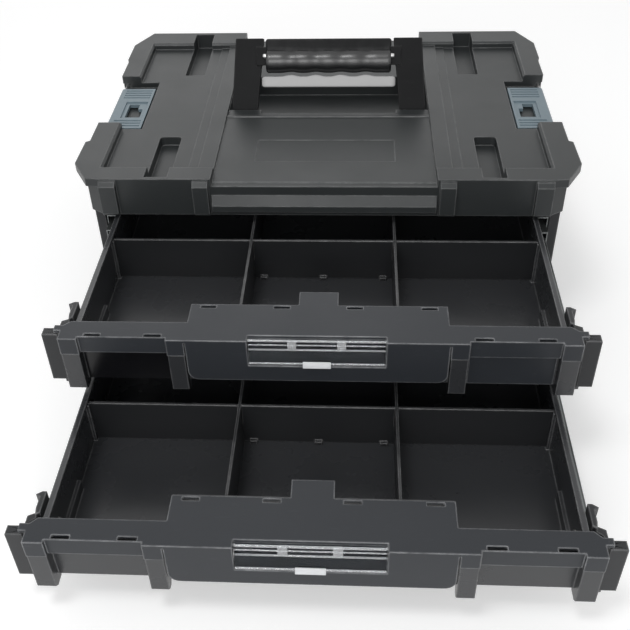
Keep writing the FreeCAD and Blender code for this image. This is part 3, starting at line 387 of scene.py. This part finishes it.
class CHEST_OT_finishes(bpy.types.Operator):
    """Makes every finish and gives each CAD node its own."""

    bl_idname = "chest.finishes"
    bl_label = "Finishes"

    def execute(self, context):
        look = context.scene.chest_finish
        grain_group()
        scuff_group()
        edge_highlight_group()
        deep, shallow = look.grain, 0.6 * look.grain
        # edges= sets how strongly each finish paints a highlight along its edges
        moulded("Lid plastic", look.lid, deep, specular=0.36, edges=0.5)
        moulded("Front plastic", look.front, deep, rough=0.38, specular=0.30, edges=1.0)
        moulded("Body plastic", look.body, deep, rough=0.42, specular=0.35, edges=0.4)
        moulded("Tray plastic", varied(look.body, 1.4), shallow, rough=0.28,
                specular=0.55, edges=0.5)
        moulded("Divider plastic", varied(look.body, 0.8), shallow, rough=0.32,
                specular=0.4, edges=0.6)
        moulded("Handle plastic", varied(look.body, 0.3), deep, rough=0.5,
                specular=0.12, edges=0.12)
        moulded("Lever plastic", look.body, deep, rough=0.38, specular=0.35, edges=0.6)
        moulded("Gloss black", (0.005, 0.005, 0.006), 0.2 * look.grain, rough=0.2,
                spread=0.06, scuffs=0.2, specular=0.35)
        moulded("Grip rubber", varied(look.body, 0.4), deep, rough=0.30, spread=0.05,
                grain=2200.0, specular=0.75)
        moulded("Insert plastic", look.insert, deep, scuffs=0.1)
        moulded("Latch plastic", look.latch, deep, scuffs=0.2)
        # the slides' dark steel colour is painted shade: the slides sit in shade inside the
        # housing
        metal("Rolled steel", (0.20, 0.21, 0.21), rough=0.42, brush=(600.0, 6.0, 600.0))
        metal("Cage strip", (0.34, 0.34, 0.34), rough=0.36, brush=(600.0, 6.0, 600.0))
        metal("Zinc screw", (0.66, 0.66, 0.64))
        metal("Turned steel", (0.6, 0.6, 0.6))
        # the clear plate's grey tint is painted shade: it darkens what shows through the plate
        clear_plastic("Clear plastic", clear=1.0, white=0.68, rough=0.04, bending=1.15)
        # the clear edge's white diffuse share is painted highlight: it stands in for the lamps'
        # reflections in the hinge bars, clips and pins
        clear_plastic("Clear edge", clear=0.74, white=0.96, rough=0.05, bending=1.50)
        clear_plastic("Frosted edge", clear=0.35, white=0.95, rough=0.20, bending=1.46)
        for name, piece in NODES.items():
            piece.data.materials.clear()
            piece.data.materials.append(finish_of(name))
            if not any(part in name for part in KEPT_SHARP):
                soften(piece, look.edge * rounding_of(name))
        return {"FINISHED"}


# modelling helpers

def pick(test, part="verts"):
    """Selects the parts of the mesh in edit mode that pass a test, and nothing else."""
    bpy.ops.mesh.select_mode(type=part[:4].upper())
    bpy.ops.mesh.select_all(action="DESELECT")
    data = bpy.context.object.data
    mesh = bmesh.from_edit_mesh(data)
    for item in getattr(mesh, part):
        if test(item):
            item.select_set(True)
    mesh.select_flush_mode()
    bmesh.update_edit_mesh(data)


def start(add, name, finish, **values):
    """Adds a primitive with nothing else selected and gives it its name and finish."""
    bpy.ops.object.select_all(action="DESELECT")
    add(**values)
    piece = bpy.context.object
    piece.name = name
    piece.data.name = name
    piece.data.materials.append(bpy.data.materials[finish])
    bpy.ops.object.transform_apply(location=True, rotation=True, scale=True)
    return piece


def modify(piece, kind, **values):
    """Adds a modifier, sets it and applies it."""
    modifier = piece.modifiers.new(kind.title(), kind)
    for key, value in values.items():
        setattr(modifier, key, value)
    activate(piece)
    bpy.ops.object.modifier_apply(modifier=modifier.name)


def activate(*pieces):
    """Selects these pieces and nothing else."""
    bpy.ops.object.select_all(action="DESELECT")
    for piece in pieces:
        piece.select_set(True)
    bpy.context.view_layer.objects.active = pieces[0]


def copy_of(piece, name):
    """A copy with a mesh of its own."""
    double = piece.copy()
    double.data = piece.data.copy()
    double.name = double.data.name = name
    bpy.context.collection.objects.link(double)
    return double


def placed(piece, matrix, name=None):
    """A copy of a piece at another place, with the place in its mesh."""
    double = copy_of(piece, name or piece.name)
    double.matrix_world = matrix
    activate(double)
    bpy.ops.object.transform_apply(location=True, rotation=True, scale=True)
    return double


def joined(pieces, name):
    """Makes one piece of several."""
    activate(*pieces)
    bpy.ops.object.join()
    whole = bpy.context.object
    whole.name = whole.data.name = name
    return whole


def settle(piece, matrix=None):
    """Turns a piece into its place and leaves its object at the origin."""
    if matrix is not None:
        piece.matrix_world = matrix
    activate(piece)
    bpy.ops.object.transform_apply(location=True, rotation=True, scale=True)
    bpy.ops.object.mode_set(mode="EDIT")
    bpy.ops.mesh.select_all(action="SELECT")
    bpy.ops.mesh.normals_make_consistent(inside=False)
    bpy.ops.object.mode_set(mode="OBJECT")
    bpy.ops.object.shade_smooth_by_angle(angle=SMOOTH_BELOW)
    return piece


def block_piece(name, finish, x, y, z, rounding=0.0, segments=3):
    """A moulded bar given by its ranges, with rounded edges."""
    sizes = [high - low for low, high in (x, y, z)]
    middle = [(low + high) / 2 for low, high in (x, y, z)]
    piece = start(bpy.ops.mesh.primitive_cube_add, name, finish, size=1, location=middle,
                  scale=sizes)
    if rounding:
        bpy.ops.object.mode_set(mode="EDIT")
        bpy.ops.mesh.select_all(action="SELECT")
        bpy.ops.mesh.bevel(offset=rounding, segments=segments, profile=0.5, affect="EDGES")
        bpy.ops.object.mode_set(mode="OBJECT")
    return piece


def turned_bar(name, finish, axis_point, sections, corners=24):
    """A bar along X built ring by ring; sections are (x, radius) pairs."""
    y, z = axis_point
    first_x, radius = sections[0]
    piece = start(bpy.ops.mesh.primitive_circle_add, name, finish, vertices=corners,
                  radius=radius, fill_type="NGON", location=(first_x, y, z),
                  rotation=(0, math.pi / 2, 0))
    bpy.ops.object.mode_set(mode="EDIT")
    bpy.ops.mesh.select_mode(type="FACE")
    bpy.ops.mesh.select_all(action="SELECT")
    at = first_x
    for x, wide in sections[1:]:
        bpy.ops.mesh.extrude_region_move(TRANSFORM_OT_translate={"value": (x - at, 0, 0)})
        ratio = wide / radius
        bpy.ops.transform.resize(value=(1, ratio, ratio), center_override=(x, y, z))
        at, radius = x, wide
    bpy.ops.mesh.select_all(action="SELECT")
    bpy.ops.mesh.normals_make_consistent(inside=False)
    bpy.ops.object.mode_set(mode="OBJECT")
    return piece


def hinge_point(joint):
    """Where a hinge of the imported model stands."""
    return Vector(next(j["pos_m"] for j in JOINTS if j["name"] == joint))


# the handle

def handle_place():
    """From the handle's own directions, along the arms and across them, to its place."""
    lean = Matrix.Rotation(-bpy.context.scene.chest_handle.lean, 4, "X")
    return Matrix.Translation(hinge_point("handle_swing")) @ lean


def finger_wave(x, pitch=0.024, half=0.0105):
    """How deep a finger hollow is at x, from 0 to 1; there are four, evenly spaced."""
    near = min(abs(x - step * pitch) for step in (-1.5, -0.5, 0.5, 1.5))
    return 0.5 + 0.5 * math.cos(math.pi * near / half) if near < half else 0.0


class CHEST_OT_grip(bpy.types.Operator):
    """Grip with a flat back and a roll with four finger hollows, and its end pins."""

    bl_idname = "chest.grip"
    bl_label = "Grip"

    def execute(self, context):
        look = context.scene.chest_handle
        half, radius = 60 * MM, 11.6 * MM
        roll_y, roll_z = -0.6 * MM, 51.4 * MM
        back_y, back_z = (-7.2 * MM, 11.6 * MM), (54 * MM, 71.5 * MM)
        core_x, core_y, core_z = (-70 * MM, 70 * MM), (-6.6 * MM, 6.6 * MM), (46.9 * MM, 64.1 * MM)

        steps = [-half + 2 * half * i / 60 for i in range(61)]
        rings = [(-half, radius - 2.2 * MM), (0.4 * MM - half, radius - 1.1 * MM),
                 (1.4 * MM - half, radius - 0.2 * MM)]
        rings += [(x, radius - look.hollow * finger_wave(x)) for x in steps[1:-1]]
        rings += [(-x, wide) for x, wide in reversed(rings[:3])]
        roll = turned_bar("grip_roll", "Grip rubber", (roll_y, roll_z), rings, corners=40)
        back = block_piece("grip_back", "Handle plastic", (-half, half), back_y, back_z,
                           rounding=2.4 * MM, segments=4)
        modify(roll, "BOOLEAN", operation="UNION", object=back, solver="EXACT",
               material_mode="TRANSFER")
        bpy.data.objects.remove(back)
        core = block_piece("core_room", "Grip rubber", core_x, core_y, core_z)
        modify(roll, "BOOLEAN", operation="DIFFERENCE", object=core, solver="EXACT")
        bpy.data.objects.remove(core)
        modify(roll, "BEVEL", width=0.5 * MM, segments=2, limit_method="ANGLE",
               angle_limit=math.radians(40))
        grip = settle(roll, handle_place())
        grip.name = grip.data.name = "grip_sleeve"
        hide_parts("handle_grip")
        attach(grip, "handle")

        pins = settle(self.end_pins(-7.4 * MM, 55.5 * MM), handle_place())
        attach(pins, "handle")
        return {"FINISHED"}

    def end_pins(self, y, z):
        """The bright pin ends that stand out of the grip's two sides."""
        rings = [(-59.6, 2.4), (-61.6, 2.4), (-62.5, 2.0), (-62.9, 1.1)]
        pin = turned_bar("grip_pin", "Turned steel", (y, z),
                         [(x * MM, wide * MM) for x, wide in rings], corners=20)
        other_end = Matrix.Translation((0, 2 * y, 0)) @ Matrix.Rotation(math.pi, 4, "Z")
        return joined([pin, placed(pin, other_end)], "grip_end_pins")


class CHEST_OT_insert(bpy.types.Operator):
    """Pale bar under the grip, whose top edge rises into the finger hollows."""

    bl_idname = "chest.insert"
    bl_label = "Grip bar"

    def execute(self, context):
        look = context.scene.chest_handle
        half, half_thick, middle_y = 64.5 * MM, 2.6 * MM, -3.0 * MM
        low, level = 26.5 * MM, 36.6 * MM
        near = 0.1 * MM
        bar = start(bpy.ops.mesh.primitive_grid_add, "grip_bar", "Insert plastic",
                    x_subdivisions=86, y_subdivisions=1, size=2, location=(0, middle_y, low))
        bpy.ops.object.mode_set(mode="EDIT")
        bpy.ops.mesh.select_mode(type="FACE")
        bpy.ops.mesh.select_all(action="SELECT")
        bpy.ops.transform.resize(value=(half, half_thick, 1),
                                 center_override=(0, middle_y, low))
        bpy.ops.mesh.extrude_region_move(TRANSFORM_OT_translate={"value": (0, 0, level - low)})

        # both ends are drawn in a little, in two steps
        core = (0, middle_y, 31.5 * MM)
        pick(lambda v: abs(v.co.x) > half - near)
        bpy.ops.transform.resize(value=(1, 0.5, 0.72), center_override=core)
        pick(lambda v: half - 2.9 * MM < abs(v.co.x) < half - near)
        bpy.ops.transform.resize(value=(1, 0.86, 0.93), center_override=core)

        columns = sorted({round(v.co.x, 6) for v in bmesh.from_edit_mesh(bar.data).verts})
        for x in columns[2:-2]:
            rise = 1.5 * look.hollow * finger_wave(x)
            if rise > 0.01 * MM:
                pick(lambda v, x=x: abs(v.co.x - x) < 0.01 * MM and v.co.z > level - near)
                bpy.ops.transform.translate(value=(0, 0, rise))
        bpy.ops.object.mode_set(mode="OBJECT")
        modify(bar, "BEVEL", width=1.5 * MM, segments=4, limit_method="ANGLE",
               angle_limit=math.radians(50))
        bar = settle(bar, handle_place())
        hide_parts("handle_insert")
        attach(bar, "handle")
        return {"FINISHED"}


# the label flaps

class CHEST_OT_flaps(bpy.types.Operator):
    """Clear label flaps: a thin plate with a ribbed hinge bar, clips and a lipped edge."""

    bl_idname = "chest.flaps"
    bl_label = "Label flaps"

    def execute(self, context):
        look = context.scene.chest_flap
        lean = Matrix.Rotation(-look.lean, 4, "X")
        model = self.flap(look)
        for drawer in DRAWERS:
            place = Matrix.Translation(hinge_point(drawer + "_flap_swing")) @ lean
            flap = settle(copy_of(model, drawer + "_clear_flap"), place)
            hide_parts(drawer + "_label_flap")
            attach(flap, drawer + "_flap")
        bpy.data.objects.remove(model)
        return {"FINISHED"}

    def flap(self, look):
        """One flap, hanging straight down from a hinge at the origin."""
        half, long, tab = look.half_width, look.length, look.tab_half
        plate = block_piece("flap_plate", "Clear plastic", (-half, half), (-0.4 * MM, 0.8 * MM),
                            (-long, 0.2 * MM), rounding=0.3 * MM, segments=2)
        rib_y = -0.6 * MM
        pieces = [plate]
        for level, thick in ((0.0, 0.95), (-3.4, 0.55), (-7.2, 0.75)):
            pieces.append(self.bar("flap_rib", half, rib_y, level * MM, thick * MM, 0.5 * MM))
        pieces.append(self.bar("flap_lip", half, 0, 0.8 * MM - long, 0.8 * MM, 0.4 * MM))

        clip_x, clip_half = 18.5 * MM, 3.4 * MM
        clip = block_piece("flap_clip", "Clear edge", (-clip_x - clip_half, clip_half - clip_x),
                           (-1.7 * MM, 0.6 * MM), (-6.8 * MM, 0.9 * MM), rounding=0.55 * MM)
        pieces += [clip, placed(clip, Matrix.Translation((2 * clip_x, 0, 0)))]

        rings = [(1 * MM - half, 1.1 * MM), (-half - 2.6 * MM, 1.1 * MM),
                 (-half - 3 * MM, 0.8 * MM)]
        pin = turned_bar("flap_pin", "Clear edge", (0, 0), rings, corners=16)
        pieces += [pin, placed(pin, Matrix.Rotation(math.pi, 4, "Z"))]

        pieces.append(block_piece("flap_tab", "Frosted edge", (-tab, tab), (-0.8 * MM, 0.8 * MM),
                                  (-long - look.tab_long, 2.4 * MM - long),
                                  rounding=0.5 * MM))
        return joined(pieces, "clear_flap")

    def bar(self, name, half, y, z, thick, end):
        """A thin round bar along the flap with drawn-in ends."""
        return turned_bar(name, "Clear edge", (y, z), [
            (-half, end), (0.5 * MM - half, thick), (half - 0.5 * MM, thick), (half, end)],
            corners=14)


# the screws

class CHEST_OT_screws(bpy.types.Operator):
    """Round cross-recessed screws for the rails and for the cover."""

    bl_idname = "chest.screws"
    bl_label = "Screws"

    def execute(self, context):
        model = self.screw()
        rail_x, rail_steps, cover_xs = 182 * MM, (0, 114 * MM, 230 * MM), (-158, -62, 62, 158)
        for drawer in DRAWERS:
            low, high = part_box(drawer + "_rail_screws")
            level = (low[2] + high[2]) / 2
            heads = []
            for side in (-1, 1):
                turn = Matrix.Rotation(side * math.pi / 2, 4, "Y")
                for step in rail_steps:
                    spot = (side * rail_x, low[1] + 3.5 * MM + step, level)
                    heads.append(placed(model, Matrix.Translation(spot) @ turn, "screw_head"))
            self.set_in(heads, drawer + "_rail_screws", drawer + "_drawer")
        low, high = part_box("cover_screws")
        level = (low[2] + high[2]) / 2
        turn = Matrix.Rotation(math.pi / 2, 4, "X")
        spots = [(x * MM, high[1] - 1.8 * MM, level) for x in cover_xs]
        heads = [placed(model, Matrix.Translation(spot) @ turn, "screw_head") for spot in spots]
        self.set_in(heads, "cover_screws", "root")
        bpy.data.objects.remove(model)
        return {"FINISHED"}

    def screw(self):
        """A pan head with a cross recess on a short shank, pointing along Z."""
        radius, height, shank = 3.5 * MM, 1.8 * MM, 3 * MM
        near = 0.1 * MM
        head = start(bpy.ops.mesh.primitive_cylinder_add, "screw", "Zinc screw", vertices=24,
                     radius=radius, depth=height, location=(0, 0, -height / 2))
        bpy.ops.object.mode_set(mode="EDIT")
        pick(lambda e: all(v.co.z < near - height for v in e.verts), "edges")
        bpy.ops.mesh.bevel(offset=1.1 * MM, segments=4, affect="EDGES")
        pick(lambda f: f.normal.z > 0.9 and f.calc_center_median().z > -near, "faces")
        bpy.ops.mesh.inset(thickness=radius - 1.8 * MM)
        bpy.ops.mesh.extrude_region_move(TRANSFORM_OT_translate={"value": (0, 0, shank)})
        bpy.ops.object.mode_set(mode="OBJECT")
        for turn in (0, math.pi / 2):
            slot = start(bpy.ops.mesh.primitive_cube_add, "slot", "Zinc screw", size=1,
                         scale=(3.8 * MM, 0.8 * MM, 2 * MM), rotation=(0, 0, turn),
                         location=(0, 0, -1.9 * MM))
            modify(head, "BOOLEAN", operation="DIFFERENCE", object=slot, solver="EXACT")
            bpy.data.objects.remove(slot)
        return head

    def set_in(self, heads, node_name, body):
        """Puts a set of screws in the place of a node."""
        whole = settle(joined(heads, node_name + "_round"))
        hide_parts(node_name)
        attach(whole, body)


# the stage

class CHEST_OT_stage(bpy.types.Operator):
    """Places the ground, the lamps and the camera."""

    bl_idname = "chest.stage"
    bl_label = "Stage"

    def execute(self, context):
        light = context.scene.chest_light
        ground_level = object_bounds()[0][2] - 0.2 * MM
        bpy.ops.mesh.primitive_plane_add(size=12, location=(0, 0, ground_level))
        ground = context.object
        ground.name = "ground"
        ground.data.materials.append(ground_material())
        ground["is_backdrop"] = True
        world = bpy.data.worlds.new("studio")
        context.scene.world = world
        world.use_nodes = True
        tree = world.node_tree
        back = tree.nodes["Background"]
        mix = node(tree, "ShaderNodeMapRange", To_Min=light.sky, To_Max=1.0)
        tree.links.new(seen_directly(tree), mix.inputs["Value"])
        tree.links.new(mix.outputs["Result"], back.inputs["Strength"])
        back.inputs["Color"].default_value = WHITE
        lamps = (("overhead", (-0.35, -0.75, 1.75), (0, -0.15, 0.1), 0.45, light.key),
                 ("in_front", (-0.1, -2.0, 0.93), (0, -0.15, 0.1), 0.9, light.fill),
                 ("behind", (-0.35, 1.5, 1.5), (0, 0, 0.1), 1.4, light.back))
        for name, place, aim, size, power in lamps:
            bpy.ops.object.light_add(type="AREA", location=place)
            lamp = context.object
            lamp.name = name
            lamp.data.shape = "SQUARE"
            lamp.data.size = size
            lamp.data.energy = power
            way = Vector(aim) - Vector(place)
            lamp.rotation_euler = way.to_track_quat("-Z", "Y").to_euler()
        place_camera(context)
        context.scene.view_settings.view_transform = "Standard"
        return {"FINISHED"}


def seen_directly(tree):
    """One for what the camera sees straight, in a gloss or through clear plastic, else nought."""
    path = node(tree, "ShaderNodeLightPath")
    total = path.outputs["Is Camera Ray"]
    for kind in ("Is Glossy Ray", "Is Transmission Ray"):
        add = node(tree, "ShaderNodeMath", operation="ADD", use_clamp=True)
        tree.links.new(total, add.inputs[0])
        tree.links.new(path.outputs[kind], add.inputs[1])
        total = add.outputs[0]
    return total


def ground_material():
    """Pale ground that shows white but keeps the shadow."""
    material, tree, shader = new_material("Pale ground")
    shader.inputs["Base Color"].default_value = (0.82, 0.82, 0.82, 1)
    shader.inputs["Roughness"].default_value = 0.9
    shader.inputs["Emission Color"].default_value = WHITE
    glow = node(tree, "ShaderNodeMapRange", To_Max=0.35)
    tree.links.new(seen_directly(tree), glow.inputs["Value"])
    tree.links.new(glow.outputs["Result"], shader.inputs["Emission Strength"])
    return material


def place_camera(context):
    """A camera above and in front of the open drawers, turned a little clockwise."""
    azimuth, elevation, roll = (math.radians(a) for a in (4.37, 39.55, -2.16))
    back = Vector((math.sin(azimuth) * math.cos(elevation),
                   -math.cos(azimuth) * math.cos(elevation), math.sin(elevation)))
    right = (-back).cross(Vector((0, 0, 1))).normalized()
    up = right.cross(-back)
    side = right * math.cos(roll) + up * math.sin(roll)
    head = up * math.cos(roll) - right * math.sin(roll)
    bpy.ops.object.camera_add(location=(0.0276, -0.8097, 0.5706))
    camera = context.object
    camera.rotation_euler = Matrix((side, head, back)).transposed().to_euler()
    image_side, focal, centre_x, centre_y = 630, 903.33, 301.33, 308.53
    camera.data.lens = camera.data.sensor_width * focal / image_side
    camera.data.shift_x = (image_side / 2 - centre_x) / image_side
    camera.data.shift_y = (centre_y - image_side / 2) / image_side
    context.scene.camera = camera


class CHEST_PT_sidebar(bpy.types.Panel):
    """Settings and buttons for the chest."""

    bl_label = "Tool chest"
    bl_idname = "CHEST_PT_sidebar"
    bl_space_type = "VIEW_3D"
    bl_region_type = "UI"
    bl_category = "Tool chest"

    def draw(self, context):
        scene = context.scene
        for group in (scene.chest_finish, scene.chest_handle, scene.chest_flap,
                      scene.chest_light):
            for name in group.__annotations__:
                self.layout.prop(group, name)
        for operator in STEPS:
            self.layout.operator(operator.bl_idname)


STEPS = (CHEST_OT_finishes, CHEST_OT_grip, CHEST_OT_insert, CHEST_OT_flaps, CHEST_OT_screws,
         CHEST_OT_stage)
CLASSES = (ChestFinish, ChestHandle, ChestFlap, StudioLight) + STEPS + (CHEST_PT_sidebar,)


def register():
    for item in CLASSES:
        bpy.utils.register_class(item)
    bpy.types.Scene.chest_finish = PointerProperty(type=ChestFinish)
    bpy.types.Scene.chest_handle = PointerProperty(type=ChestHandle)
    bpy.types.Scene.chest_flap = PointerProperty(type=ChestFlap)
    bpy.types.Scene.chest_light = PointerProperty(type=StudioLight)


def unregister():
    del bpy.types.Scene.chest_finish
    del bpy.types.Scene.chest_handle
    del bpy.types.Scene.chest_flap
    del bpy.types.Scene.chest_light
    for item in reversed(CLASSES):
        bpy.utils.unregister_class(item)


def corners(box):
    """A box as plain lists of numbers."""
    return [[float(v) for v in corner] for corner in box]


def main():
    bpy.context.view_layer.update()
    register()
    for operator in STEPS:
        getattr(bpy.ops.chest, operator.bl_idname.split(".")[1])()


if __name__ == "__main__":
    main()
